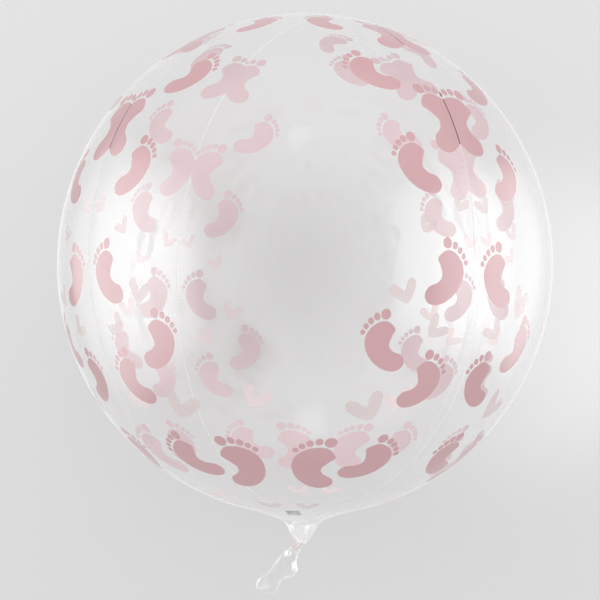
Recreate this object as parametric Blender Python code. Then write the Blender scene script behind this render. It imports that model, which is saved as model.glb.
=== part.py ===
"""Clear bubble balloon: one sealed bag of film with its gathered neck and filling tail, lying on its side.

Units are metres and +Z is up. The bag is modelled upright around its own axis, with its top at +Z and its
front at -Y. It is then laid on its back, so that its front looks up and its neck points along -Y. The origin
is at the middle of the underside of its bounding box, level with the flat spot that the bag rests on.
"""

import math

import bmesh
import bpy
from mathutils import Matrix, Vector

# Ball
BALL_RADIUS = 0.2480  # from the axis to the middle of a gore
POLE_REACH = 0.2515  # from the ball's centre to its top, and to where the neck would close it
GORES = 4
FIRST_SEAM = math.radians(37.0)  # from the front towards +X
SEAM_DIP = 0.0020  # how far a weld pulls the film in, at the equator
SEAM_SWELL = math.radians(6.0)  # turn over which a gore swells most of the way back out

# Neck
SHOULDER_RADIUS = 0.0600  # where the film leaves the round of the ball
SHOULDER_RUN = 0.0620  # how far it is drawn straight on inwards before it turns down
FUNNEL_RADIUS = 0.0240  # fullness of the gathered funnel above the pinch
FUNNEL_RISE = 0.0180  # height above the pinch at which the funnel is fullest
NECK_LENGTH = 0.0265  # from the pole to the pinch, along the axis
PINCH_RADIUS = 0.0042
PLEATS = 8
PLEAT_SHARE = 0.16  # depth of a pleat at the pinch, as a share of the local radius

# Filling tail, a flattened tube
TAIL_LENGTH = 0.0640
TAIL_WIDTH = 0.0235
TAIL_THICKNESS = 0.0060
TAIL_FULLEST = 0.42  # where the tail is widest and thickest, as a share of its length
TAIL_LIP_WIDTH = 0.0190
TAIL_LIP_THICKNESS = 0.0016
TAIL_LEAN = math.radians(40.0)  # from the balloon's axis towards -X

# Rest
FLAT_SPOT_RADIUS = 0.0380

# Facets
TURN_STEPS = 72  # around the axis, a whole number for each gore and each pleat
BALL_RINGS = 36
NECK_RINGS = 12
TAIL_RINGS = 8
BEND_RINGS = 1  # rings over which the tail turns away from the axis
MERGE_DISTANCE = 1e-6


def clear_scene():
    for old in list(bpy.data.objects):
        bpy.data.objects.remove(old, do_unlink=True)


def film_material():
    """Clear glossy plastic film."""
    material = bpy.data.materials.new("film")
    material.use_nodes = True
    shader = material.node_tree.nodes["Principled BSDF"]
    shader.inputs["Base Color"].default_value = (0.93, 0.93, 0.94, 1.0)
    shader.inputs["Roughness"].default_value = 0.08
    shader.inputs["Metallic"].default_value = 0.0
    shader.inputs["Alpha"].default_value = 0.35
    return material


def ball_profile():
    """Points (radius, height) from the top of the ball down to its shoulder."""
    shoulder_angle = math.asin(SHOULDER_RADIUS / BALL_RADIUS)
    points = []
    for ring in range(BALL_RINGS + 1):
        angle = (math.pi - shoulder_angle) * ring / BALL_RINGS
        points.append((BALL_RADIUS * math.sin(angle), POLE_REACH * math.cos(angle)))
    return points


def neck_profile():
    """Points (radius, height) below the shoulder, along one curve down to the pinch."""
    angle = math.asin(SHOULDER_RADIUS / BALL_RADIUS)
    shoulder = Vector((SHOULDER_RADIUS, -POLE_REACH * math.cos(angle)))
    along_ball = Vector((-BALL_RADIUS * math.cos(angle), -POLE_REACH * math.sin(angle))).normalized()
    pinch = Vector((PINCH_RADIUS, -POLE_REACH - NECK_LENGTH))
    curve = (
        shoulder,
        shoulder + along_ball * SHOULDER_RUN,
        Vector((FUNNEL_RADIUS, pinch.y + FUNNEL_RISE)),
        pinch,
    )
    points = []
    for ring in range(1, NECK_RINGS + 1):
        t = ring / NECK_RINGS
        weights = ((1 - t) ** 3, 3 * t * (1 - t) ** 2, 3 * t * t * (1 - t), t**3)
        point = sum((corner * weight for corner, weight in zip(curve, weights)), Vector((0.0, 0.0)))
        points.append((point.x, point.y))
    return points


def spin_profile(bm, profile):
    """Turns the profile once around the axis, starting on the first seam."""
    out = Vector((math.sin(FIRST_SEAM), -math.cos(FIRST_SEAM), 0.0))
    verts = [bm.verts.new(out * radius + Vector((0.0, 0.0, height))) for radius, height in profile]
    edges = [bm.edges.new(pair) for pair in zip(verts, verts[1:])]
    bmesh.ops.spin(
        bm,
        geom=verts + edges,
        cent=(0.0, 0.0, 0.0),
        axis=(0.0, 0.0, 1.0),
        angle=math.tau,
        steps=TURN_STEPS,
        use_merge=True,
        use_duplicate=False,
    )
    bmesh.ops.remove_doubles(bm, verts=bm.verts[:], dist=MERGE_DISTANCE)


def sink_seams(bm):
    """Pulls the ball's film in along each weld, most at the equator and not at all at the poles."""
    gore = math.tau / GORES
    for vert in bm.verts:
        radius = math.hypot(vert.co.x, vert.co.y)
        turn = math.atan2(vert.co.x, -vert.co.y) - FIRST_SEAM
        from_seam = abs((turn + gore / 2) % gore - gore / 2)
        at_equator = radius / BALL_RADIUS
        dip = SEAM_DIP * at_equator**2 * math.exp(-from_seam / SEAM_SWELL)
        if radius > SHOULDER_RADIUS:
            shrink = 1.0 - dip / radius
            vert.co.x *= shrink
            vert.co.y *= shrink


def pleat_neck(bm):
    """Gathers the neck into pleats that deepen towards the pinch."""
    start_height = neck_profile()[0][1]
    pinch_height = -POLE_REACH - NECK_LENGTH
    for vert in bm.verts:
        if vert.co.z > start_height:
            continue
        down = (start_height - vert.co.z) / (start_height - pinch_height)
        turn = math.atan2(vert.co.x, -vert.co.y) - FIRST_SEAM
        swell = 1.0 + PLEAT_SHARE * down**2 * math.cos(PLEATS * turn)
        vert.co.x *= swell
        vert.co.y *= swell


def tail_size(t):
    """Width and thickness of the tail at a share t of its length."""
    start = 2 * PINCH_RADIUS
    fill = math.sin(min(t / TAIL_FULLEST, 1.0) * math.pi / 2)
    thin = max(t - TAIL_FULLEST, 0.0) / (1.0 - TAIL_FULLEST)
    width = start + (TAIL_WIDTH - start) * fill + (TAIL_LIP_WIDTH - TAIL_WIDTH) * thin**2
    thickness = start + (TAIL_THICKNESS - start) * fill + (TAIL_LIP_THICKNESS - TAIL_THICKNESS) * thin
    return width, thickness


def draw_out_tail(bm):
    """Extrudes the pinched ring into the flat tail, which bends away from the axis and ends in a thin lip."""
    lip = [edge for edge in bm.edges if edge.is_boundary]
    centre = Vector((0.0, 0.0, -POLE_REACH - NECK_LENGTH))
    size = tail_size(0.0)
    lean = 0.0
    for ring in range(1, TAIL_RINGS + 1):
        made = bmesh.ops.extrude_edge_only(bm, edges=lip)["geom"]
        lip = [item for item in made if isinstance(item, bmesh.types.BMEdge) and item.is_boundary]
        verts = [item for item in made if isinstance(item, bmesh.types.BMVert)]
        new_lean = TAIL_LEAN * min(ring / BEND_RINGS, 1.0)
        turn = Matrix.Rotation(new_lean - lean, 3, "Y")
        lean = new_lean
        bmesh.ops.rotate(bm, cent=centre, matrix=turn, verts=verts)
        step = Matrix.Rotation(lean, 3, "Y") @ Vector((0.0, 0.0, -TAIL_LENGTH / TAIL_RINGS))
        bmesh.ops.translate(bm, vec=step, verts=verts)
        centre = centre + step
        new_size = tail_size(ring / TAIL_RINGS)
        to_ring = Matrix.Rotation(-lean, 4, "Y") @ Matrix.Translation(-centre)
        grow = (new_size[0] / size[0], new_size[1] / size[1], 1.0)
        size = new_size
        bmesh.ops.scale(bm, vec=grow, space=to_ring, verts=verts)
    bmesh.ops.contextual_create(bm, geom=lip)


def cut_flat_spot(bm):
    """Cuts the small flat spot on the back of the ball and returns its distance from the centre."""
    distance = math.sqrt(BALL_RADIUS**2 - FLAT_SPOT_RADIUS**2)
    cut = bmesh.ops.bisect_plane(
        bm,
        geom=bm.verts[:] + bm.edges[:] + bm.faces[:],
        plane_co=(0.0, distance, 0.0),
        plane_no=(0.0, 1.0, 0.0),
        clear_outer=True,
    )
    rim = [item for item in cut["geom_cut"] if isinstance(item, bmesh.types.BMEdge)]
    bmesh.ops.contextual_create(bm, geom=rim)
    return distance


def make_balloon():
    bm = bmesh.new()
    spin_profile(bm, ball_profile() + neck_profile())
    sink_seams(bm)
    pleat_neck(bm)
    draw_out_tail(bm)
    rest_height = cut_flat_spot(bm)
    bmesh.ops.recalc_face_normals(bm, faces=bm.faces[:])
    reach = min(vert.co.z for vert in bm.verts)
    mesh = bpy.data.meshes.new("balloon")
    bm.to_mesh(mesh)
    bm.free()
    mesh.materials.append(film_material())
    mesh.shade_smooth()
    mesh.set_sharp_from_angle(angle=math.radians(40.0))
    balloon = bpy.data.objects.new("balloon", mesh)
    bpy.context.scene.collection.objects.link(balloon)
    balloon.rotation_euler = (-math.pi / 2, 0.0, 0.0)
    balloon.location = (0.0, -(POLE_REACH + reach) / 2, rest_height)
    return balloon


def main():
    clear_scene()
    make_balloon()
    bpy.context.view_layer.update()


main()
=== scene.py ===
"""Clear bubble balloon printed with baby footprints and hearts, lying on its back: its looks and its stage.

The film is modelled upright, with its top at +Z and its front at -Y. It is then laid down with its front up.
"""

import math

import bmesh
import bpy
from mathutils import Matrix, Vector, kdtree, noise
from mathutils.geometry import delaunay_2d_cdt, interpolate_bezier


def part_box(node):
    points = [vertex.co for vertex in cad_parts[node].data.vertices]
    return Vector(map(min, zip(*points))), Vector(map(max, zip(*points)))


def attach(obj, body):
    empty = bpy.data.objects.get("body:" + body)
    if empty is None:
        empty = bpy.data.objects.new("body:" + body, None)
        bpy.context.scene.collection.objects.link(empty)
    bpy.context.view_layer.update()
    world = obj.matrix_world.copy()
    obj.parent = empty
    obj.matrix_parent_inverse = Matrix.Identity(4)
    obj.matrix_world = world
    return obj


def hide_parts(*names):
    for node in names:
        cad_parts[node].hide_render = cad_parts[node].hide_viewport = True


bl_info = {
    "name": "Bubble balloon",
    "version": (1, 0, 0),
    "blender": (4, 5, 0),
    "location": "3D View > Sidebar > Balloon",
    "description": "Makes a clear printed bubble balloon with its neck, its tail and a plain stage",
    "category": "Add Mesh",
}

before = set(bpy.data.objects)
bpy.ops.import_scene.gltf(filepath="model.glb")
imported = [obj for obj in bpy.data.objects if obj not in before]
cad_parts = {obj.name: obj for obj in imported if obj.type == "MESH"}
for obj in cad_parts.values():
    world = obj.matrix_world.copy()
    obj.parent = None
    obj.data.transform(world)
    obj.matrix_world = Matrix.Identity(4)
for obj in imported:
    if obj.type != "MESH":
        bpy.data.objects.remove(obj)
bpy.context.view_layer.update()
FILM_NODE = "balloon"

GORES = 4
GORE = math.tau / GORES
HALF_GORE = GORE / 2

# Details of the pattern, the neck, the tail and the inks, in metres unless named otherwise
MERGE_DISTANCE = 1e-6
SEAM_SNAP = 6e-5
CLEAR_OF_OUTLINE = 0.0015  # between the pattern's own points and an outline
NECK_GATHER = math.radians(72.0)  # southern latitude from which the film has columns for the neck's folds
NECK_COLUMNS = 12  # in half a gore
INSIDE_FACES = 1  # the triangulation's number for what lies inside the outlines
TRIANGULATION_GAP = 1e-7
OUTLINE_STEPS = 5  # from one point of a sole or a heart to the next
TOE_POINTS = 16
TOE_FAN = -0.5  # how far a toe turns, as a share of its bearing from the middle of the toes' fan
TOE_FAN_MIDDLE = -4.0  # where that middle lies across the foot, in millimetres
SHOULDER_RUN = 0.0620  # how far the film is drawn straight on inwards before it turns down
FUNNEL_RADIUS = 0.0240
FUNNEL_RISE = 0.0180  # height above the pinch at which the funnel is fullest
CURVE_STEPS = 60
PLEATS = 8
PLEAT_SHARE = 0.16  # depth of a fold at the pinch, as a share of the local radius
SLACK_FOLDS = 5  # uneven folds, halfway down the neck
SLACK_SHARE = 0.25  # their depth, as a share of the pleats' depth
GATHER_START = 0.004  # height above the lower pole at which the film begins to gather
GATHER_RUN = 0.012  # length over which it gets fully gathered
GATHER_END = 0.010  # length of the tail over which it spreads out again
FILM_ROUGHNESS = 0.04  # when faced
FILM_SPREAD = 0.6  # how much rougher the film looks at its edge
FILM_HAZE = 0.05  # and how much rougher where it is hazy
FILM_VEIL = 0.07  # how much of a mirror the film is when faced
FILM_EDGE = 0.45  # and how much more at its edge
GATHER_VEIL = 0.04  # how much more of a mirror gathered film is when faced
GATHER_EDGE = 0.50  # and how much more again at its edge
TAIL_GATHER = 0.15  # how gathered the tail's film is, as a share of the neck's
CREASE_GATHER = 3.0  # and at its creases
CREASE_SHEEN = 6.0  # how fast a crease's sheen builds up towards its peak
PUCKER_REACH = 0.014  # distance from a weld over which puckers fade
PUCKER_EASE = 0.03  # distance from the neck's mouth over which they come in
PUCKER_WAVES = (90.0, 25.0)  # along a weld and away from it, per metre
FINE_WAVES = (260.0, 30.0)  # the same of the finest puckers
WELD_SHIFT = 7.0  # between the puckers of one weld and the next, in waves
INK_ROUGHNESS = 0.28
INK_GRAIN = 0.15  # how much rougher the ink's grain makes it
INNER_GLOSS = 0.4  # how much of the film's gloss lies over an ink's inner side
PAINTED_BACKLIGHT = 0.34  # painted light: how much lighter an ink's inner side is painted at the balloon's top, standing in for light that falls through the ink
PAINTED_BACKLIGHT_REACH = (0.0, 0.22)  # where that starts and is full, in metres towards the top
PAINTED_RIM_LIGHT = 0.17  # and how much more is painted at its rim, as seen from its front
PAINTED_RIM_LIGHT_REACH = (0.09, 0.20)  # where that starts and is full, from the ball's middle
TAIL_RINGS = 48
TAIL_BEND = 0.08  # share of the tail's length over which it turns away from the axis
TAIL_FILL = 0.25  # share over which its folds round out into a tube
CREASE_RISE = 0.20  # share over which its creases come in
PINK_STREAK_SPAN = (0.03, 0.17)  # shares of the tail's length between which pale pink streaks run into the gathers
GATHERED_STREAKS = 7  # of those streaks, around the tail
STREAK_EDGE = 0.3  # height of the streaks' wave above which the film is pale pink
MARK_LATITUDE = math.radians(76.0)
MARK_WIDTH = 0.0130
MARK_HEIGHT = 0.0240

# Finishes of the film, in the order of the mesh's material slots
FILM, FOOT_INK, HEART_INK, WELD, INKED_WELD, GREY_MARK = range(6)

# A baby's footprint about its middle, in millimetres: the sole's outline, then each toe's middle and size
SOLE = (
    (-1.5, 17.0), (6.5, 15.6), (13.5, 9.6), (16.6, 1.0), (14.6, -8.2),
    (8.8, -17.0), (0.5, -23.4), (-9.0, -26.6), (-17.0, -25.2), (-21.0, -19.0),
    (-17.5, -12.0), (-9.5, -8.8), (-5.2, -3.4), (-7.0, 4.6), (-9.2, 11.0),
)
TOES = (
    (0.2, 23.0, 8.8, 9.2),
    (7.8, 20.8, 5.6, 6.6),
    (12.9, 17.0, 5.2, 6.0),
    (16.6, 12.4, 4.6, 5.3),
    (19.0, 7.3, 4.4, 4.7),
)

# The left half of an upright heart one unit wide, from its point up to its notch
HEART = (
    (0.00, -0.39), (-0.20, -0.26), (-0.39, -0.02), (-0.50, 0.20), (-0.46, 0.35),
    (-0.34, 0.41), (-0.19, 0.31), (-0.07, 0.14), (0.00, 0.03),
)

# Share of the tail's length, its width and its thickness there as shares of the most, and how far its middle
# lies to one side, in millimetres
TAIL = (
    (0.11, 0.30, 1.00, -1.2),
    (0.16, 0.40, 1.00, -1.2),
    (0.29, 0.66, 1.00, -0.2),
    (0.40, 1.00, 1.00, 2.9),
    (0.50, 1.00, 0.95, 3.2),
    (0.68, 0.70, 0.75, 0.8),
    (0.87, 0.90, 0.50, 0.9),
    (0.94, 0.80, 0.40, -0.7),
    (1.00, 0.36, 0.22, -2.1),
)

# Creased peaks of the tail that catch the light: share of its length, place across it, steep reach (positive
# if that side faces +X), gentle reach, reach the other way, and height, in millimetres
PEAKS = (
    (0.26, -5.0, -3.4, 3.0, 4.5, 2.7),
    (0.37, 9.0, 3.2, 2.6, 5.5, 2.6),
    (0.13, 2.4, 2.0, 4.0, 3.0, 1.5),
    (0.55, 7.0, -2.6, 5.0, 3.0, 1.2),
    (0.84, -2.0, 6.0, 9.0, 7.0, 1.3),
)

# Shallow creases all over the tail: height, and their spacing across it and along it, in millimetres
TAIL_WAVES = ((0.35, 13.0, 21.0), (0.25, 7.0, -17.0))

# Regions of the pattern of half a gore: the whole of it, its weld, the grey mark, and then each print
WHOLE, WELD_STRIP, MARK, FIRST_PRINT = range(4)

# Halves of the gores, from the front gore's left half towards +X
FRONT = "01"
EVERY = "01234567"

# Footprints in half a gore: turn from the gore's middle and latitude in degrees, hand, tilt in degrees,
# scale, and the halves that they are printed on
FEET = (
    (15.5, 62.8, 1, 12, 0.98, "0123467"),
    (40.5, 58.2, -1, -16, 1.28, EVERY),
    (25.0, 40.3, 1, -16, 1.08, EVERY),
    (41.7, 29.3, -1, -26, 1.36, "012347"),
    (31.8, 17.1, 1, -3, 1.07, EVERY),
    (38.0, -4.8, -1, -2, 1.08, EVERY),
    (24.8, -19.0, 1, 0, 1.03, EVERY),
    (36.3, -27.1, -1, -1, 1.04, EVERY),
    (29.6, -47.6, -1, 6, 1.15, EVERY),
    (12.3, -49.3, 1, 22, 1.33, EVERY),
    (19.0, 75.0, 1, 80, 0.85, "4"),
    (39.6, 29.3, -1, -23, 1.26, "56"),
)
# Hearts likewise, without a hand and with their width in millimetres
HEARTS = (
    (41.8, 9.0, 25, 19, EVERY),
    (33.0, 4.1, 34, 18, EVERY),
    (28.4, -9.2, -20, 25, EVERY),
    (36.6, -16.2, 43, 24, EVERY),
    (23.5, -33.8, -26, 35, EVERY),
    (11.0, -69.0, 0, 22, EVERY),
)

# Stage, in metres
FLOOR_REACH = 6.0
FLOOR_GAP = 0.0004  # between the balloon's flat spot and the floor
FLOOR_PAINTED_LIGHT_SLOPE = 0.1  # painted light: how much lighter the floor's colour is painted towards the balloon's top, for each metre
FLOOR_PAINTED_LIGHT_REACH = 0.4  # how far from the balloon's middle it does
PANEL_HEIGHT = 4.10
PANEL_DISTANCE = 2.40
PANEL_FALLOFF = 3.0  # power at which a panel darkens towards its edges
# Panels that the film mirrors: name, azimuth in degrees from beyond the balloon's top, length, height of its
# middle, and share of the panels' light
PANELS = (
    ("left panel", -92.0, 3.9, 0.45, 0.92),
    ("right panel", 88.0, 2.7, -0.15, 0.90),
)
DOORWAY = (177.0, 0.55, 0.85, 1.05)  # likewise its azimuth, length, height and height of its middle
ROOM_SLOPE = 0.30  # how much more light comes from beyond the balloon's top
ROOM_OVERHEAD = 0.40  # how bright the room is straight above, as the film mirrors it
ROOM_BELOW = 0.65  # and below the horizon
ROOM_SEEN = 0.62  # how bright it is where the camera sees it directly
SPILL_PLACE = (0.75, 0.005, 0.62)
SPILL_AIM = 0.444  # how far to the left of its own place it points on the floor

# The ball's middle and the focal length in the photograph's frame, in pixels
FRAME_PIXELS = 600.0
BALL_PIXEL = (305.0, 264.4)
FOCAL_PIXELS = 1408.2


# What all settings of colours share
COLOUR = {"subtype": "COLOR", "size": 4, "min": 0.0, "max": 1.0}


class BalloonShape(bpy.types.PropertyGroup):
    """Sizes of the balloon's film."""

    ball_radius: bpy.props.FloatProperty(
        name="Ball radius", description="From the axis to the middle of a gore", default=0.248, unit="LENGTH"
    )
    pole_reach: bpy.props.FloatProperty(
        name="Pole reach", description="From the ball's centre to its top", default=0.2515, unit="LENGTH"
    )
    first_seam: bpy.props.FloatProperty(
        name="First seam", description="Turn of the first weld from the front towards +X",
        default=math.radians(37.0), subtype="ANGLE",
    )
    seam_dip: bpy.props.FloatProperty(
        name="Seam dip", description="How far a weld pulls the film in at the equator", default=0.0020,
        unit="LENGTH",
    )
    seam_swell: bpy.props.FloatProperty(
        name="Seam swell", description="Turn over which a gore swells most of the way back out",
        default=math.radians(6.0), subtype="ANGLE",
    )
    weld_width: bpy.props.FloatProperty(
        name="Weld width", description="Width of the welded line between two gores", default=0.0013,
        unit="LENGTH",
    )
    pucker: bpy.props.FloatProperty(
        name="Pucker", description="How far the film puckers beside a weld", default=0.0003, unit="LENGTH"
    )
    shoulder: bpy.props.FloatProperty(
        name="Shoulder", description="Radius at which the film leaves the round of the ball", default=0.0600,
        unit="LENGTH",
    )
    neck_mouth: bpy.props.FloatProperty(
        name="Neck mouth", description="Radius at which the gores end and the neck begins", default=0.0260,
        unit="LENGTH",
    )
    neck_length: bpy.props.FloatProperty(
        name="Neck length", description="From the ball's pole to the pinch", default=0.0265, unit="LENGTH"
    )
    pinch_radius: bpy.props.FloatProperty(
        name="Pinch radius", description="Radius of the gathered film at the pinch", default=0.0042,
        unit="LENGTH",
    )
    tail_length: bpy.props.FloatProperty(
        name="Tail length", description="Length of the filling tail", default=0.0640, unit="LENGTH"
    )
    tail_width: bpy.props.FloatProperty(
        name="Tail width", description="Widest part of the filling tail", default=0.0235, unit="LENGTH"
    )
    tail_thickness: bpy.props.FloatProperty(
        name="Tail thickness", description="Thickest part of the filling tail", default=0.0060, unit="LENGTH"
    )
    tail_lean: bpy.props.FloatProperty(
        name="Tail lean", description="Turn of the tail from the axis towards -X",
        default=math.radians(40.0), subtype="ANGLE",
    )
    flat_spot: bpy.props.FloatProperty(
        name="Flat spot", description="Radius of the spot that the balloon rests on", default=0.0380,
        unit="LENGTH",
    )
    facet: bpy.props.FloatProperty(
        name="Facet", description="Length of the ball's facets", default=0.0062, unit="LENGTH"
    )


class BalloonColours(bpy.types.PropertyGroup):
    """Colours of the film and of its print; the alpha of an outer colour is how densely it covers."""

    film_tint: bpy.props.FloatVectorProperty(
        name="Film", description="Light that the film lets through",
        default=(0.995, 0.995, 0.995, 1.0), **COLOUR,
    )
    foot_outside: bpy.props.FloatVectorProperty(
        name="Foot ink", description="Dusty pink of the footprints",
        default=(0.56, 0.33, 0.35, 1.0), **COLOUR,
    )
    # Paler than the outer ink: partly the ink's back seen through the film, partly painted haze of light
    # that the film reflects
    foot_inside: bpy.props.FloatVectorProperty(
        name="Foot ink, inner side", description="The footprints as seen through the balloon",
        default=(0.562, 0.442, 0.46, 1.0), **COLOUR,
    )
    heart_outside: bpy.props.FloatVectorProperty(
        name="Heart ink", description="Pale pink of the hearts", default=(0.67, 0.54, 0.54, 0.70), **COLOUR
    )
    # Paler than the outer ink: partly the ink's back seen through the film, partly painted haze of light
    # that the film reflects
    heart_inside: bpy.props.FloatVectorProperty(
        name="Heart ink, inner side", description="The hearts as seen through the balloon",
        default=(0.70, 0.57, 0.575, 1.0), **COLOUR,
    )
    weld: bpy.props.FloatVectorProperty(
        name="Weld", description="Whitish line of a weld", default=(0.86, 0.86, 0.87, 0.27), **COLOUR
    )
    inked_weld: bpy.props.FloatVectorProperty(
        name="Weld over print", description="Dark line where a weld crosses a print",
        default=(0.10, 0.045, 0.05, 1.0), **COLOUR,
    )
    grey_mark: bpy.props.FloatVectorProperty(
        name="Grey mark", description="Plain grey patch by the neck",
        default=(0.20, 0.19, 0.20, 1.0), **COLOUR,
    )


class BalloonStage(bpy.types.PropertyGroup):
    """Floor, lights and camera."""

    floor: bpy.props.FloatVectorProperty(
        name="Floor", description="Colour of the floor", default=(0.69, 0.69, 0.69, 1.0), **COLOUR
    )
    room_light: bpy.props.FloatProperty(
        name="Room light", description="Strength of the soft light from all around", default=1.11
    )
    room_gloss: bpy.props.FloatProperty(
        name="Room in gloss", description="Radiance of the room as the film mirrors it", default=1.14
    )
    panel_light: bpy.props.FloatProperty(
        name="Panel light", description="Radiance of the light panels' middles", default=3.0
    )
    doorway_light: bpy.props.FloatProperty(
        name="Doorway light", description="Radiance of the doorway beyond the balloon's neck", default=1.1
    )
    spill_light: bpy.props.FloatProperty(
        name="Spill light", description="Power of the light that spills on the floor", default=5.8
    )
    camera_distance: bpy.props.FloatProperty(
        name="Camera distance", description="From the ball's centre", default=1.430, unit="LENGTH"
    )
    camera_drop: bpy.props.FloatProperty(
        name="Camera drop", description="Turn of the camera from straight above, towards the neck",
        default=math.radians(4.3), subtype="ANGLE",
    )
    camera_roll: bpy.props.FloatProperty(
        name="Camera roll", description="Turn of the camera about its own line of sight",
        default=math.radians(0.65), subtype="ANGLE",
    )


def ball_centre(shape):
    """Where the ball's centre lies, from the node's box and the flat spot."""
    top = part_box(FILM_NODE)[1].y
    return Vector((0.0, top - shape.pole_reach, math.sqrt(shape.ball_radius**2 - shape.flat_spot**2)))


def lay_down(shape):
    """Matrix that lays the upright balloon on its back."""
    return Matrix.Translation(ball_centre(shape)) @ Matrix.Rotation(-math.pi / 2, 4, "X")


def neck_curve(shape):
    """Points (radius, height) of the curve from the shoulder down to the pinch."""
    latitude = -math.acos(shape.shoulder / shape.ball_radius)
    start = Vector((shape.shoulder, shape.pole_reach * math.sin(latitude)))
    along_ball = Vector((shape.ball_radius * math.sin(latitude), -shape.pole_reach * math.cos(latitude)))
    inwards = along_ball.normalized()
    pinch = Vector((shape.pinch_radius, -shape.pole_reach - shape.neck_length))
    funnel = Vector((FUNNEL_RADIUS, pinch.y + FUNNEL_RISE))
    return interpolate_bezier(start, start + inwards * SHOULDER_RUN, funnel, pinch, CURVE_STEPS)


def height_on_neck(curve, radius):
    """Height of the neck's curve at a radius between its ends."""
    for above, below in zip(curve, curve[1:]):
        if below.x <= radius:
            return above.y + (below.y - above.y) * (above.x - radius) / (above.x - below.x)
    return curve[-1].y


def ball_point(shape, neck, turn, latitude):
    """A point of the ball's film, its turn measured from a gore's middle; its shoulder follows the neck."""
    around = math.cos(latitude)
    from_middle = abs((turn + HALF_GORE) % GORE - HALF_GORE)
    from_seam = HALF_GORE - from_middle
    dip = shape.seam_dip * around**2 * math.exp(-from_seam / shape.seam_swell)
    radius = shape.ball_radius * around - dip
    height = shape.pole_reach * math.sin(latitude)
    if latitude < 0.0 and radius < shape.shoulder:
        height = height_on_neck(neck, radius)
    return Vector((radius * math.sin(turn), -radius * math.cos(turn), height))


def smooth_curve(points, steps, closed):
    """Points along a smooth curve through the given ones."""
    points = [Vector(point) for point in points]
    count = len(points)
    curve = []
    for i in range(count if closed else count - 1):
        before = points[i - 1] if closed or i else points[i]
        start, end = points[i], points[(i + 1) % count]
        after = points[(i + 2) % count] if closed or i + 2 < count else end
        first_handle = start + (end - before) / 6
        second_handle = end - (after - start) / 6
        curve += interpolate_bezier(start, first_handle, second_handle, end, steps)[:-1]
    if not closed:
        curve.append(points[-1])
    return [Vector(point[:2]) for point in curve]


def foot_outlines():
    """Outlines of the sole and of the five toes, in metres."""
    outlines = [smooth_curve(SOLE, OUTLINE_STEPS, True)]
    for x, y, width, height in TOES:
        lean = TOE_FAN * math.atan2(x - TOE_FAN_MIDDLE, y)
        toe = []
        for step in range(TOE_POINTS):
            angle = math.tau * step / TOE_POINTS
            point = Vector((width / 2 * math.cos(angle), height / 2 * math.sin(angle)))
            toe.append(Matrix.Rotation(lean, 2) @ point + Vector((x, y)))
        outlines.append(toe)
    return [[point * 0.001 for point in outline] for outline in outlines]


def heart_outline():
    """Outline of a heart one metre wide."""
    left = smooth_curve(HEART, OUTLINE_STEPS, False)
    return left + [Vector((-point.x, point.y)) for point in reversed(left[1:-1])]


def flat_from_ball(shape, turn, latitude):
    """Where a point of the ball falls on the flat pattern of a gore, in metres."""
    return Vector((shape.ball_radius * turn * math.cos(latitude), shape.ball_radius * latitude))


def ball_from_flat(shape, point):
    """Turn and latitude of a point of the flat pattern; a point next to the seam falls on it."""
    latitude = max(-math.pi / 2, min(math.pi / 2, point.y / shape.ball_radius))
    around = shape.ball_radius * math.cos(latitude)
    turn = point.x / around if around > MERGE_DISTANCE else 0.0
    if (HALF_GORE - abs(turn)) * around < SEAM_SNAP:
        turn = math.copysign(HALF_GORE, turn)
    return turn, latitude


def place_print(shape, outline, turn, latitude, hand, tilt, scale):
    """Lays an outline on the ball and gives it on the flat pattern."""
    sine, cosine = math.sin(tilt), math.cos(tilt)
    around = math.cos(latitude)
    up = Vector((around * math.sin(turn), -around * math.cos(turn), math.sin(latitude)))
    east = Vector((math.cos(turn), math.sin(turn), 0.0))
    north = up.cross(east)
    placed = []
    for point in outline:
        x, y = point.x * scale * hand, point.y * scale
        offset = east * (x * cosine - y * sine) + north * (x * sine + y * cosine)
        where = up + offset / shape.ball_radius
        turn_there = math.atan2(where.x, -where.y)
        latitude_there = math.atan2(where.z, math.hypot(where.x, where.y))
        placed.append(flat_from_ball(shape, turn_there, latitude_there))
    return placed


def print_regions(shape):
    """The region number and outline of each part of the prints in the left half of a gore."""
    regions = []
    for number, (turn, latitude, hand, tilt, scale, _) in enumerate(FEET, FIRST_PRINT):
        for part in foot_outlines():
            place = (-math.radians(turn), math.radians(latitude), hand, math.radians(tilt), scale)
            regions.append((number, place_print(shape, part, *place)))
    for number, (turn, latitude, tilt, width, _) in enumerate(HEARTS, FIRST_PRINT + len(FEET)):
        place = (-math.radians(turn), math.radians(latitude), 1, math.radians(tilt), width * 0.001)
        regions.append((number, place_print(shape, heart_outline(), *place)))
    return regions


def flat_pattern(shape):
    """Outline rings and inner points of half a gore, laid flat, and the two regions that fill it."""
    mouth = -math.acos(shape.neck_mouth / shape.ball_radius)
    rows = round((math.pi / 2 - mouth) * shape.ball_radius / shape.facet)
    seam, weld_edge, middle, inner = [], [], [], []
    for row in range(rows):
        latitude = mouth + (math.pi / 2 - mouth) * row / rows
        half_width = shape.ball_radius * HALF_GORE * math.cos(latitude)
        height = shape.ball_radius * latitude
        columns = max(1, round(half_width / shape.facet))
        if height < -shape.ball_radius * NECK_GATHER:
            columns = max(columns, NECK_COLUMNS)
        seam.append(Vector((-half_width, height)))
        weld_edge.append(Vector((-half_width + shape.weld_width / 2, height)))
        middle.append(Vector((0.0, height)))
        inner += [Vector((-half_width * column / columns, height)) for column in range(1, columns)]
        if row == 0:
            mouth_row = inner[:]
    top = Vector((0.0, shape.ball_radius * math.pi / 2))
    outline = seam + [top] + middle[::-1] + mouth_row
    weld = seam + [top] + weld_edge[::-1]
    return outline, weld, inner[len(mouth_row):]


def mark_outline(shape):
    """Half of the plain grey patch, laid flat."""
    middle = -shape.ball_radius * MARK_LATITUDE
    corners = ((0.0, -0.5), (0.0, 0.5), (-0.5, 0.5), (-0.5, -0.5))
    return [Vector((x * MARK_WIDTH, middle + y * MARK_HEIGHT)) for x, y in corners]


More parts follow.
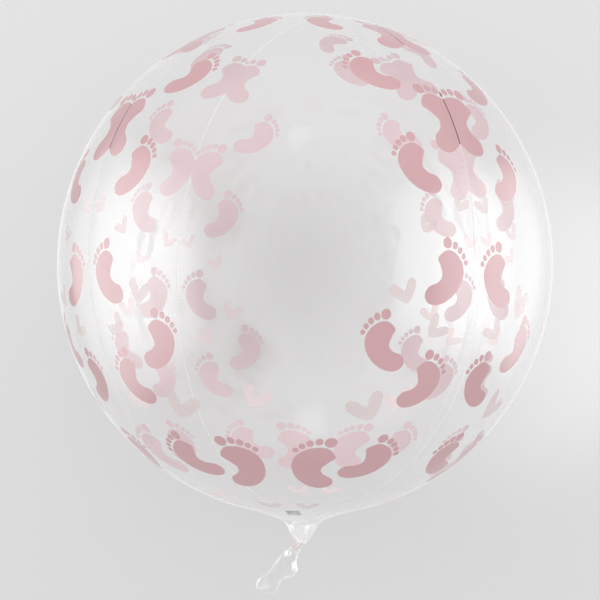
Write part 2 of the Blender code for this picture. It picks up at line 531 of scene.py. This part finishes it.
def anticlockwise(ring, first):
    """The numbers of a ring's points, counted from the first, so that they run anticlockwise."""
    numbers = list(range(first, first + len(ring)))
    area = sum(here.cross(there) for here, there in zip(ring, ring[1:] + ring[:1]))
    return numbers if area > 0.0 else numbers[::-1]


def half_gore_mesh(shape):
    """Half a gore as a bmesh, cut along the outlines of its prints, with a bit for each region on each face.

    Only a triangulation with fixed edges cuts a curved film this finely, so the outlines are cut on the flat
    pattern and then laid on the ball.
    """
    outline, weld, inner = flat_pattern(shape)
    regions = [(WHOLE, outline), (WELD_STRIP, weld), (MARK, mark_outline(shape))] + print_regions(shape)
    points, faces = [], []
    for _, ring in regions:
        faces.append(anticlockwise(ring, len(points)))
        points += ring
    near = kdtree.KDTree(len(points))
    for i, point in enumerate(points):
        near.insert((point.x, point.y, 0.0), i)
    near.balance()
    points += [point for point in inner if near.find((point.x, point.y, 0.0))[2] > CLEAR_OF_OUTLINE]
    cut = delaunay_2d_cdt(points, [], faces, INSIDE_FACES, TRIANGULATION_GAP)
    neck = neck_curve(shape)
    bm = bmesh.new()
    region_bits = bm.faces.layers.int.new("regions")
    verts = [bm.verts.new(ball_point(shape, neck, *ball_from_flat(shape, point))) for point in cut[0]]
    for corners, sources in zip(cut[2], cut[5]):
        if 0 not in sources:
            continue
        face = bm.faces.new([verts[corner] for corner in corners])
        for number in {regions[source][0] for source in sources}:
            face[region_bits] += 1 << number
    bmesh.ops.delete(bm, geom=[vert for vert in bm.verts if not vert.link_faces], context="VERTS")
    bmesh.ops.remove_doubles(bm, verts=bm.verts[:], dist=MERGE_DISTANCE)
    return bm


def shown_finish(bits, half):
    """The finish that shows on a face in some regions of the pattern, on one half of a gore."""
    printed = [(MARK, GREY_MARK, FRONT)]
    printed += [(number, FOOT_INK, row[-1]) for number, row in enumerate(FEET, FIRST_PRINT)]
    printed += [(number, HEART_INK, row[-1]) for number, row in enumerate(HEARTS, FIRST_PRINT + len(FEET))]
    shown = [ink for number, ink, halves in printed if bits >> number & 1 and str(half) in halves]
    if bits >> WELD_STRIP & 1:
        return INKED_WELD if FOOT_INK in shown else WELD
    return shown[0] if shown else FILM


def spin_gores(shape, bm):
    """Mirrors the half gore, turns copies of the gore around the ball, and gives each face its finish."""
    bmesh.ops.mirror(bm, geom=bm.verts[:] + bm.edges[:] + bm.faces[:], axis="X", merge_dist=MERGE_DISTANCE)
    front_middle = shape.first_seam - HALF_GORE
    bmesh.ops.rotate(bm, verts=bm.verts[:], matrix=Matrix.Rotation(front_middle, 3, "Z"))
    bmesh.ops.spin(
        bm,
        geom=bm.verts[:] + bm.edges[:] + bm.faces[:],
        cent=(0.0, 0.0, 0.0),
        axis=(0.0, 0.0, 1.0),
        angle=GORE * (GORES - 1),
        steps=GORES - 1,
        use_duplicate=True,
    )
    bmesh.ops.remove_doubles(bm, verts=bm.verts[:], dist=MERGE_DISTANCE)
    region_bits = bm.faces.layers.int["regions"]
    for face in bm.faces:
        middle = face.calc_center_median()
        turn = math.atan2(middle.x, -middle.y) - front_middle
        half = math.floor((turn + HALF_GORE) / HALF_GORE) % (2 * GORES)
        face.material_index = shown_finish(face[region_bits], half)
    if any(len(edge.link_faces) > 2 for edge in bm.edges):
        raise RuntimeError("The gores don't meet cleanly along a weld")


def seam_distance(shape, point):
    """How far a point of the film lies from the nearest weld, and which weld that is."""
    turn = math.atan2(point.x, -point.y) - shape.first_seam
    nearest = round(turn / GORE)
    return abs(turn - nearest * GORE) * math.hypot(point.x, point.y), nearest % GORES


def pucker_film(shape, bm):
    """Puckers the film beside the welds, and keeps each point's distance from a weld and place along it."""
    from_weld = bm.verts.layers.float.new("from_weld")
    down = bm.verts.layers.float.new("down")
    for vert in bm.verts:
        distance, weld = seam_distance(shape, vert.co)
        height = shape.ball_radius * math.asin(max(-1.0, min(1.0, vert.co.z / shape.pole_reach)))
        vert[from_weld] = distance
        vert[down] = height + weld
        around = math.hypot(vert.co.x, vert.co.y)
        if around < shape.neck_mouth + MERGE_DISTANCE:
            continue
        place = Vector((height * PUCKER_WAVES[0], distance * PUCKER_WAVES[1], weld * WELD_SHIFT))
        wave = noise.noise(place)
        ease = min(1.0, (around - shape.neck_mouth) / PUCKER_EASE)
        shift = shape.pucker * wave * math.exp(-distance / PUCKER_REACH) * ease
        vert.co += vert.co.normalized() * shift


def note_gathering(shape, bm):
    """Keeps how gathered each point of the film is: most in the funnel, less in the tail."""
    gather = bm.verts.layers.float["gather"]
    pole = -shape.pole_reach
    pinch = pole - shape.neck_length
    for vert in bm.verts:
        gathered = max(0.0, min(1.0, (pole + GATHER_START - vert.co.z) / GATHER_RUN))
        spread = max(0.0, min(1.0, (pinch - vert.co.z) / GATHER_END))
        vert[gather] = max(vert[gather], gathered * (1.0 - (1.0 - TAIL_GATHER) * spread))


def extrude_ring(bm, ring):
    """Extrudes a ring of edges where it is; gives the new ring, its points and the faces between the two."""
    made = bmesh.ops.extrude_edge_only(bm, edges=ring)["geom"]
    new_ring = [item for item in made if isinstance(item, bmesh.types.BMEdge) and item.is_boundary]
    verts = [item for item in made if isinstance(item, bmesh.types.BMVert)]
    faces = [item for item in made if isinstance(item, bmesh.types.BMFace)]
    return new_ring, verts, faces


def draw_neck(shape, bm):
    """Extrudes the ball's mouth down into the gathered neck, to its pinch."""
    curve = neck_curve(shape)
    start = Vector((shape.neck_mouth, height_on_neck(curve, shape.neck_mouth)))
    curve = [start] + [point for point in curve if point.x < start.x - MERGE_DISTANCE]
    pinch = curve[-1]
    ring = [edge for edge in bm.edges if edge.is_boundary]
    for above, below in zip(curve, curve[1:]):
        ring, verts, _ = extrude_ring(bm, ring)
        bmesh.ops.scale(bm, vec=(below.x / above.x, below.x / above.x, 1.0), verts=verts)
        bmesh.ops.translate(bm, vec=(0.0, 0.0, below.y - above.y), verts=verts)
    for vert in bm.verts:
        if vert.co.z < start.y + MERGE_DISTANCE:
            down = max(0.0, start.y - vert.co.z) / (start.y - pinch.y)
            turn = math.atan2(vert.co.x, -vert.co.y) - shape.first_seam
            pleat = math.cos(PLEATS * turn) * down**2
            slack = SLACK_SHARE * math.cos(SLACK_FOLDS * turn + 1.0) * math.sin(math.pi * down)
            swell = 1.0 + PLEAT_SHARE * (pleat + slack)
            vert.co.x *= swell
            vert.co.y *= swell
    return ring


def between(table, t):
    """Value of a table of (share, value, ...) rows at a share t, eased between the rows."""
    for here, there in zip(table, table[1:]):
        if t <= there[0]:
            ease = (t - here[0]) / (there[0] - here[0])
            ease = ease * ease * (3 - 2 * ease)
            return [a + (b - a) * ease for a, b in zip(here[1:], there[1:])]
    return list(table[-1][1:])


def triangle_wave(x):
    return 4 * abs(x - math.floor(x + 0.5)) - 1


def draw_tail(shape, bm, ring):
    """Extrudes the pinch into the flat filling tail, which bends away from the axis, and creases it."""
    pinch = 2 * shape.pinch_radius
    gather = bm.verts.layers.float.new("gather")
    rows = ((0.0, pinch / shape.tail_width, pinch / shape.tail_thickness, 0.0),) + TAIL
    centre = Vector((0.0, 0.0, -shape.pole_reach - shape.neck_length))
    width, thickness, aside = between(rows, 0.0)
    lean = 0.0
    rings = []
    for ring_number in range(1, TAIL_RINGS + 1):
        ring, verts, faces = extrude_ring(bm, ring)
        t = ring_number / TAIL_RINGS
        new_lean = shape.tail_lean * min(t / TAIL_BEND, 1.0)
        bmesh.ops.rotate(bm, cent=centre, matrix=Matrix.Rotation(new_lean - lean, 3, "Y"), verts=verts)
        lean = new_lean
        new_width, new_thickness, new_aside = between(rows, t)
        step = Vector(((new_aside - aside) * 0.001, 0.0, -shape.tail_length / TAIL_RINGS))
        along = Matrix.Rotation(lean, 3, "Y") @ step
        bmesh.ops.translate(bm, vec=along, verts=verts)
        centre = centre + along
        to_ring = Matrix.Rotation(-lean, 4, "Y") @ Matrix.Translation(-centre)
        grow = (new_width / width, new_thickness / thickness, 1.0)
        width, thickness, aside = new_width, new_thickness, new_aside
        bmesh.ops.scale(bm, vec=grow, space=to_ring, verts=verts)
        rings.append((verts, faces, to_ring, t))
    for verts, faces, to_ring, t in rings:
        widths = between(rows, t)
        for vert in verts:
            fill_out(shape, vert, gather, to_ring, t, widths)
        for face in faces:
            middle = to_ring @ face.calc_center_median()
            streak = math.sin(GATHERED_STREAKS * math.atan2(middle.y, middle.x))
            # Pale pink streaks, in the hearts' ink, on the tail's first gathers
            printed = PINK_STREAK_SPAN[0] < t < PINK_STREAK_SPAN[1] and streak > STREAK_EDGE
            face.material_index = HEART_INK if printed else FILM
    cap = bmesh.ops.contextual_create(bm, geom=ring)["faces"]
    bmesh.ops.triangulate(bm, faces=cap)


def fill_out(shape, vert, gather, to_ring, t, widths):
    """Rounds the folded film of the tail out into a flat tube, and creases its upper film."""
    local = to_ring @ vert.co
    half_width = shape.tail_width * widths[0] / 2
    half_thickness = shape.tail_thickness * widths[1] / 2
    angle = math.atan2(local.y / half_thickness, local.x / half_width)
    rounded = Vector((half_width * math.cos(angle), half_thickness * math.sin(angle), local.z))
    local = local.lerp(rounded, min(1.0, t / TAIL_FILL))
    across = local.x * 1000.0 + widths[2]
    along = t * shape.tail_length * 1000.0
    waves = (height * triangle_wave(across / x + along / y) for height, x, y in TAIL_WAVES)
    lift = sum(waves)
    creased = 0.0
    for share, place, steep, gentle, other, height in PEAKS:
        x, y = across - place, along - share * shape.tail_length * 1000.0
        sideways = x * math.cos(shape.tail_lean) - y * math.sin(shape.tail_lean)
        onwards = x * math.sin(shape.tail_lean) + y * math.cos(shape.tail_lean)
        reach = abs(steep) if sideways * steep > 0.0 else gentle
        peak = max(0.0, 1.0 - max(abs(sideways) / reach, abs(onwards) / other))
        lift += height * peak
        creased = max(creased, min(1.0, CREASE_SHEEN * peak))
    upper = 0.5 - 0.5 * math.sin(angle)
    local.y -= 0.001 * lift * upper * min(1.0, t / CREASE_RISE)
    vert[gather] = CREASE_GATHER * creased * upper
    vert.co = to_ring.inverted() @ local


def press_flat_spot(shape, bm):
    """Presses the back of the ball flat where it rests."""
    distance = math.sqrt(shape.ball_radius**2 - shape.flat_spot**2)
    for vert in bm.verts:
        vert.co.y = min(vert.co.y, distance)


def new_object(name, data):
    """A new object in the scene."""
    made = bpy.data.objects.new(name, data)
    bpy.context.scene.collection.objects.link(made)
    return made


def finish_mesh(name, bm, materials):
    """Makes the bmesh an object that lies in its place, with its faces pointing out."""
    bmesh.ops.recalc_face_normals(bm, faces=bm.faces[:])
    mesh = bpy.data.meshes.new(name)
    bm.to_mesh(mesh)
    bm.free()
    for material in materials:
        mesh.materials.append(material)
    mesh.shade_smooth()
    piece = new_object(name, mesh)
    weighted = piece.modifiers.new("area weighted normals", "WEIGHTED_NORMAL")
    weighted.mode = "FACE_AREA"
    return piece


def node_group(name, inputs, outputs):
    """An empty shader node group with its sockets; each is (name, kind, default)."""
    group = bpy.data.node_groups.new(name, "ShaderNodeTree")
    for socket_name, kind, default in inputs:
        socket = group.interface.new_socket(socket_name, in_out="INPUT", socket_type=kind)
        socket.default_value = default
    for socket_name, kind in outputs:
        group.interface.new_socket(socket_name, in_out="OUTPUT", socket_type=kind)
    return group, group.nodes.new("NodeGroupInput"), group.nodes.new("NodeGroupOutput")


def set_inputs(tree, node, values):
    """Feeds a node's inputs, by name or number, each from another socket or with a plain value."""
    for name, value in values.items():
        if isinstance(value, bpy.types.NodeSocket):
            tree.links.new(value, node.inputs[name])
        else:
            node.inputs[name].default_value = value


def math_node(tree, operation, first, second=0.0, third=0.0):
    """A Math node; gives its output."""
    node = tree.nodes.new("ShaderNodeMath")
    node.operation = operation
    set_inputs(tree, node, {0: first, 1: second, 2: third})
    return node.outputs[0]


def scaled_colour(tree, colour, factor):
    """A colour times a factor; gives its output."""
    node = tree.nodes.new("ShaderNodeVectorMath")
    node.operation = "SCALE"
    set_inputs(tree, node, {0: colour, "Scale": factor})
    return node.outputs[0]


def mixed_number(tree, mask, without, within):
    """One number where a mask is 0 and another where it is 1; gives its output."""
    node = tree.nodes.new("ShaderNodeMix")
    set_inputs(tree, node, {"Factor": mask, "A": without, "B": within})
    return node.outputs["Result"]


def split_axes(tree, vector):
    """The X, Y and Z outputs of a vector."""
    node = tree.nodes.new("ShaderNodeSeparateXYZ")
    tree.links.new(vector, node.inputs[0])
    return node.outputs


def noise_node(tree, vector, scale, detail, roughness=0.5):
    """A Noise texture on a vector; gives its value."""
    node = tree.nodes.new("ShaderNodeTexNoise")
    set_inputs(tree, node, {"Vector": vector, "Scale": scale, "Detail": detail, "Roughness": roughness})
    return node.outputs["Fac"]


def ramp_node(tree, value, reach, ends, interpolation):
    """Runs from one end number to the other while its value crosses a reach; gives its output."""
    ramp = tree.nodes.new("ShaderNodeMapRange")
    ramp.interpolation_type = interpolation
    names = ("Value", "From Min", "From Max", "To Min", "To Max")
    set_inputs(tree, ramp, dict(zip(names, (value, *reach, *ends))))
    return ramp.outputs[0]


def attribute_node(tree, name):
    node = tree.nodes.new("ShaderNodeAttribute")
    node.attribute_name = name
    return node.outputs["Fac"]


def film_ripple_group():
    """Ripples of the stretched film: broad waves all over, and fine puckers that run out from each weld."""
    group, entry, out = node_group(
        "film ripple",
        [("Puckers", "NodeSocketFloat", 0.8)],
        [("Height", "NodeSocketFloat"), ("Haze", "NodeSocketFloat")],
    )
    place = group.nodes.new("ShaderNodeTexCoord").outputs["Object"]
    waves = noise_node(group, place, 7.0, 2.0)
    from_weld = attribute_node(group, "from_weld")
    along = math_node(group, "MULTIPLY", attribute_node(group, "down"), FINE_WAVES[0])
    away = math_node(group, "MULTIPLY", from_weld, FINE_WAVES[1])
    combine = group.nodes.new("ShaderNodeCombineXYZ")
    set_inputs(group, combine, {"X": along, "Y": away})
    fade = math_node(group, "POWER", math.e, math_node(group, "MULTIPLY", from_weld, -1.0 / PUCKER_REACH))
    puckers = math_node(group, "MULTIPLY", noise_node(group, combine.outputs[0], 1.0, 2.0), fade)
    puckers = math_node(group, "MULTIPLY", puckers, entry.outputs["Puckers"])
    height = math_node(group, "ADD", waves, puckers)
    haze = math_node(group, "MULTIPLY_ADD", noise_node(group, place, 45.0, 6.0, 0.7), 0.6, fade)
    set_inputs(group, out, {"Height": height, "Haze": haze})
    return group


def ink_tone_group(middle):
    """Uneven lay of printed ink, and a painted-light mask that lightens its colour near the top and the rim,
    standing in for the light that falls through it.

    The middle is the Y of the ball's middle, around which the rim lies.
    """
    group, entry, out = node_group(
        "ink tone",
        [("Colour", "NodeSocketColor", (0.6, 0.4, 0.4, 1.0)), ("Mottling", "NodeSocketFloat", 0.08)],
        [("Colour", "NodeSocketColor"), ("Grain", "NodeSocketFloat"), ("Painted backlight", "NodeSocketFloat")],
    )
    place = group.nodes.new("ShaderNodeTexCoord").outputs["Object"]
    broad = noise_node(group, place, 30.0, 3.0)
    fine = noise_node(group, place, 900.0, 2.0)
    both = math_node(group, "MULTIPLY_ADD", fine, 0.35, broad)
    level = math_node(group, "SUBTRACT", both, 0.67)
    level = math_node(group, "MULTIPLY_ADD", level, entry.outputs["Mottling"], 1.0)
    colour = scaled_colour(group, entry.outputs["Colour"], level)
    axes = split_axes(group, place)
    # Painted light: how much lighter the ink is painted towards the top and towards the rim
    towards_top = ramp_node(group, axes["Y"], PAINTED_BACKLIGHT_REACH, (0.0, PAINTED_BACKLIGHT), "SMOOTHSTEP")
    along = math_node(group, "SUBTRACT", axes["Y"], middle)
    along = math_node(group, "MULTIPLY", along, along)
    from_middle = math_node(group, "MULTIPLY_ADD", axes["X"], axes["X"], along)
    from_middle = math_node(group, "SQRT", from_middle)
    towards_rim = ramp_node(group, from_middle, PAINTED_RIM_LIGHT_REACH, (0.0, PAINTED_RIM_LIGHT), "SMOOTHSTEP")
    painted_backlight = math_node(group, "ADD", towards_top, towards_rim)
    set_inputs(group, out, {"Colour": colour, "Grain": fine, "Painted backlight": painted_backlight})
    return group


def new_material(name):
    """A material with its node tree, its Principled shader and its output."""
    material = bpy.data.materials.new(name)
    material.use_nodes = True
    nodes = material.node_tree.nodes
    return material, material.node_tree, nodes["Principled BSDF"], nodes["Material Output"]


def add_ripple(tree, group):
    """Places the ripple group and a Bump node; gives the bumped normal and the haze."""
    ripple = tree.nodes.new("ShaderNodeGroup")
    ripple.node_tree = group
    bump = tree.nodes.new("ShaderNodeBump")
    set_inputs(tree, bump, {"Strength": 0.35, "Distance": 0.002, "Height": ripple.outputs["Height"]})
    return bump.outputs["Normal"], ripple.outputs["Haze"]


def film_material(name, tint, ripple):
    """Clear film: see-through when faced, and more of a mirror towards its edge."""
    material, tree, shader, output = new_material(name)
    normal, haze = add_ripple(tree, ripple)
    layer_weight = tree.nodes.new("ShaderNodeLayerWeight")
    set_inputs(tree, layer_weight, {"Blend": 0.5, "Normal": normal})
    facing = layer_weight.outputs["Facing"]
    spread = math_node(tree, "POWER", facing, 3.0)
    spread = math_node(tree, "MULTIPLY_ADD", spread, FILM_SPREAD, FILM_ROUGHNESS)
    settings = {
        "Base Color": (1.0, 1.0, 1.0, 1.0),
        "Metallic": 0.75,
        "Roughness": math_node(tree, "MULTIPLY_ADD", haze, FILM_HAZE, spread),
        "Normal": normal,
    }
    set_inputs(tree, shader, settings)
    mirror = math_node(tree, "MULTIPLY_ADD", math_node(tree, "POWER", facing, 5.0), FILM_EDGE, FILM_VEIL)
    edge = math_node(tree, "MULTIPLY_ADD", math_node(tree, "POWER", facing, 1.3), GATHER_EDGE, GATHER_VEIL)
    mirror = math_node(tree, "MULTIPLY_ADD", attribute_node(tree, "gather"), edge, mirror)
    clear = tree.nodes.new("ShaderNodeBsdfTransparent")
    clear.inputs["Color"].default_value = tint
    mix = tree.nodes.new("ShaderNodeMixShader")
    set_inputs(tree, mix, {"Fac": mirror, 1: clear.outputs[0], 2: shader.outputs[0]})
    tree.links.new(mix.outputs[0], output.inputs["Surface"])
    return material


def ink_material(name, outside, inside, ink_tone, ripple):
    """Printed ink under the film's gloss, with its inner side as seen through the balloon, in its own paler
    colour and painted lighter towards the top and the rim.
    """
    material, tree, shader, output = new_material(name)
    sides = tree.nodes.new("ShaderNodeMix")
    sides.data_type = "RGBA"
    behind = tree.nodes.new("ShaderNodeNewGeometry").outputs["Backfacing"]
    tree.links.new(behind, sides.inputs["Factor"])
    for colour, socket in ((outside, sides.inputs[6]), (inside, sides.inputs[7])):
        tone = tree.nodes.new("ShaderNodeGroup")
        tone.node_tree = ink_tone
        tone.inputs["Colour"].default_value = colour
        tree.links.new(tone.outputs["Colour"], socket)
    # Painted light: the inner side's colour is lightened towards the top and the rim, standing in for light
    # that falls through the ink
    painted_glow = math_node(tree, "MULTIPLY_ADD", tone.outputs["Painted backlight"], behind, 1.0)
    normal, _ = add_ripple(tree, ripple)
    settings = {
        "Base Color": scaled_colour(tree, sides.outputs[2], painted_glow),
        "Roughness": math_node(tree, "MULTIPLY_ADD", tone.outputs["Grain"], INK_GRAIN, INK_ROUGHNESS),
        "Normal": normal,
        "Specular IOR Level": 0.0,
        "Coat Weight": math_node(tree, "MULTIPLY_ADD", behind, INNER_GLOSS - 1.0, 1.0),
        "Coat IOR": 1.6,
        "Coat Roughness": 0.08,
        "Alpha": outside[3],
    }
    set_inputs(tree, shader, settings)
    return material


class BALLOON_OT_make_film(bpy.types.Operator):
    """Makes the bag of film with its printed feet and hearts, its welds, its neck and its tail"""

    bl_idname = "balloon.make_film"
    bl_label = "Make film"

    def execute(self, context):
        shape = context.scene.balloon_shape
        colours = context.scene.balloon_colours
        bm = half_gore_mesh(shape)
        spin_gores(shape, bm)
        pucker_film(shape, bm)
        draw_tail(shape, bm, draw_neck(shape, bm))
        note_gathering(shape, bm)
        press_flat_spot(shape, bm)
        bmesh.ops.transform(bm, matrix=lay_down(shape), verts=bm.verts[:])
        ripple = film_ripple_group()
        ink_tone = ink_tone_group(ball_centre(shape).y)
        materials = (
            film_material("clear film", colours.film_tint, ripple),
            ink_material("dusty pink ink", colours.foot_outside, colours.foot_inside, ink_tone, ripple),
            ink_material("pale pink ink", colours.heart_outside, colours.heart_inside, ink_tone, ripple),
            ink_material("weld", colours.weld, colours.weld, ink_tone, ripple),
            ink_material("weld over ink", colours.inked_weld, colours.foot_inside, ink_tone, ripple),
            ink_material("grey patch", colours.grey_mark, colours.grey_mark, ink_tone, ripple),
        )
        film = finish_mesh("balloon_film", bm, materials)
        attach(film, "root")
        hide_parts(FILM_NODE)
        return {"FINISHED"}


def make_floor(colour):
    """A wide pale floor just below the balloon, which the film doesn't mirror; its colour is painted lighter
    towards the balloon's top.
    """
    bm = bmesh.new()
    bmesh.ops.create_grid(bm, x_segments=2, y_segments=2, size=FLOOR_REACH)
    bmesh.ops.translate(bm, vec=(0.0, 0.0, -FLOOR_GAP), verts=bm.verts[:])
    material, tree, shader, _ = new_material("studio floor")
    place = tree.nodes.new("ShaderNodeTexCoord").outputs["Object"]
    # Painted light: the floor's colour grows lighter towards the balloon's top and darker towards its neck
    beyond = math_node(tree, "MAXIMUM", split_axes(tree, place)["Y"], -FLOOR_PAINTED_LIGHT_REACH)
    beyond = math_node(tree, "MINIMUM", beyond, FLOOR_PAINTED_LIGHT_REACH)
    shade = math_node(tree, "MULTIPLY_ADD", noise_node(tree, place, 3.0, 2.0), 0.02, 0.98)
    shade = math_node(tree, "MULTIPLY_ADD", beyond, FLOOR_PAINTED_LIGHT_SLOPE, shade)
    painted = scaled_colour(tree, colour[:3], shade)
    set_inputs(tree, shader, {"Base Color": painted, "Roughness": 0.9, "Specular IOR Level": 0.1})
    floor = finish_mesh("studio_floor", bm, (material,))
    floor.visible_glossy = False


def make_panel(name, azimuth, length, height, middle, radiance):
    """A soft panel beside the balloon, at an azimuth in degrees; only gloss shows it."""
    light = bpy.data.lights.new(name, "AREA")
    light.shape = "RECTANGLE"
    light.size = length
    light.size_y = height
    light.energy = math.pi * length * height * radiance
    light.use_nodes = True
    tree = light.node_tree
    place = split_axes(tree, tree.nodes.new("ShaderNodeNewGeometry").outputs["Parametric"])
    falloff = 1.0
    for axis in ("X", "Y"):
        from_middle = math_node(tree, "MULTIPLY_ADD", place[axis], 2.0, -1.0)
        steep = math_node(tree, "POWER", math_node(tree, "ABSOLUTE", from_middle), PANEL_FALLOFF)
        falloff = math_node(tree, "MULTIPLY", math_node(tree, "SUBTRACT", 1.0, steep), falloff)
    tree.links.new(falloff, tree.nodes["Emission"].inputs["Strength"])
    panel = new_object(name, light)
    bearing = math.radians(azimuth)
    away = Vector((math.sin(bearing), math.cos(bearing), 0.0))
    panel.location = away * PANEL_DISTANCE + Vector((0.0, 0.0, middle))
    panel.rotation_euler = (math.pi / 2, 0.0, math.pi - bearing)
    panel.visible_diffuse = False


def make_room_light(diffuse, gloss):
    """Soft light from all around, a little stronger from beyond the balloon's top.

    As the film mirrors it, the room is darker straight above, where the camera hangs, and below the horizon.
    Where the camera sees the room itself, it is dimmer, so that the clear film stands out before it.
    """
    world = bpy.data.worlds.new("soft room")
    world.use_nodes = True
    tree = world.node_tree
    background = tree.nodes["Background"]
    background.inputs["Color"].default_value = (1.0, 1.0, 1.0, 1.0)
    axes = split_axes(tree, tree.nodes.new("ShaderNodeTexCoord").outputs["Generated"])
    height = math_node(tree, "MAXIMUM", axes["Z"], 0.0)
    overhead = math_node(tree, "POWER", height, 4.0)
    mirrored = math_node(tree, "MULTIPLY_ADD", overhead, (ROOM_OVERHEAD - 1.0) * gloss, gloss)
    below = ramp_node(tree, axes["Z"], (-0.2, 0.0), (ROOM_BELOW, 1.0), "LINEAR")
    mirrored = math_node(tree, "MULTIPLY", mirrored, below)
    soft = math_node(tree, "MULTIPLY_ADD", axes["Y"], ROOM_SLOPE * diffuse, diffuse)
    light_path = tree.nodes.new("ShaderNodeLightPath")
    strength = mixed_number(tree, light_path.outputs["Is Glossy Ray"], soft, mirrored)
    strength = mixed_number(tree, light_path.outputs["Is Camera Ray"], strength, ROOM_SEEN)
    tree.links.new(strength, background.inputs["Strength"])
    bpy.context.scene.world = world


def make_spill(power):
    """Light that spills on the floor beside the balloon, just outside the picture's right edge."""
    light = bpy.data.lights.new("right spill", "SPOT")
    light.energy = power
    light.color = (0.94, 0.95, 1.0)
    light.spot_size = math.radians(34.0)
    light.spot_blend = 1.0
    light.shadow_soft_size = 0.05
    spill = new_object("right spill", light)
    spill.location = SPILL_PLACE
    spill.rotation_euler = (0.0, math.atan2(SPILL_AIM, SPILL_PLACE[2]), 0.0)


def make_camera(shape, stage):
    """The camera that looks down on the lying balloon."""
    centre = ball_centre(shape)
    back = Vector((0.0, -math.sin(stage.camera_drop), math.cos(stage.camera_drop)))
    up = back.cross(Vector((1.0, 0.0, 0.0)))
    turn = Matrix((Vector((1.0, 0.0, 0.0)), up, back)).transposed()
    camera_data = bpy.data.cameras.new("camera")
    camera_data.lens = camera_data.sensor_width * FOCAL_PIXELS / FRAME_PIXELS
    camera_data.shift_x = (FRAME_PIXELS / 2 - BALL_PIXEL[0]) / FRAME_PIXELS
    camera_data.shift_y = (BALL_PIXEL[1] - FRAME_PIXELS / 2) / FRAME_PIXELS
    camera = new_object("camera", camera_data)
    camera.matrix_world = (
        Matrix.Translation(centre + back * stage.camera_distance)
        @ Matrix.Rotation(stage.camera_roll, 4, back)
        @ turn.to_4x4()
    )
    bpy.context.scene.camera = camera


class BALLOON_OT_make_stage(bpy.types.Operator):
    """Makes the plain floor, the soft lights and the camera"""

    bl_idname = "balloon.make_stage"
    bl_label = "Make stage"

    def execute(self, context):
        stage = context.scene.balloon_stage
        make_floor(stage.floor)
        for name, azimuth, length, middle, share in PANELS:
            make_panel(name, azimuth, length, PANEL_HEIGHT, middle, stage.panel_light * share)
        make_panel("doorway", *DOORWAY, stage.doorway_light)
        make_room_light(stage.room_light, stage.room_gloss)
        make_spill(stage.spill_light)
        make_camera(context.scene.balloon_shape, stage)
        context.scene.view_settings.view_transform = "Standard"
        return {"FINISHED"}


class BALLOON_PT_panel(bpy.types.Panel):
    """Lists the balloon's makers and their sizes and colours"""

    bl_idname = "BALLOON_PT_panel"
    bl_label = "Bubble balloon"
    bl_space_type = "VIEW_3D"
    bl_region_type = "UI"
    bl_category = "Balloon"

    def draw(self, context):
        layout = self.layout
        scene = context.scene
        for operator in (BALLOON_OT_make_film, BALLOON_OT_make_stage):
            layout.operator(operator.bl_idname)
        for settings in (scene.balloon_shape, scene.balloon_colours, scene.balloon_stage):
            box = layout.box()
            for name in settings.__annotations__:
                box.prop(settings, name)


CLASSES = (
    BalloonShape,
    BalloonColours,
    BalloonStage,
    BALLOON_OT_make_film,
    BALLOON_OT_make_stage,
    BALLOON_PT_panel,
)


def register():
    for cls in CLASSES:
        bpy.utils.register_class(cls)
    bpy.types.Scene.balloon_shape = bpy.props.PointerProperty(type=BalloonShape)
    bpy.types.Scene.balloon_colours = bpy.props.PointerProperty(type=BalloonColours)
    bpy.types.Scene.balloon_stage = bpy.props.PointerProperty(type=BalloonStage)


def unregister():
    del bpy.types.Scene.balloon_stage
    del bpy.types.Scene.balloon_colours
    del bpy.types.Scene.balloon_shape
    for cls in reversed(CLASSES):
        bpy.utils.unregister_class(cls)


def main():
    register()
    bpy.ops.balloon.make_film()
    bpy.ops.balloon.make_stage()


if __name__ == "__main__":
    main()
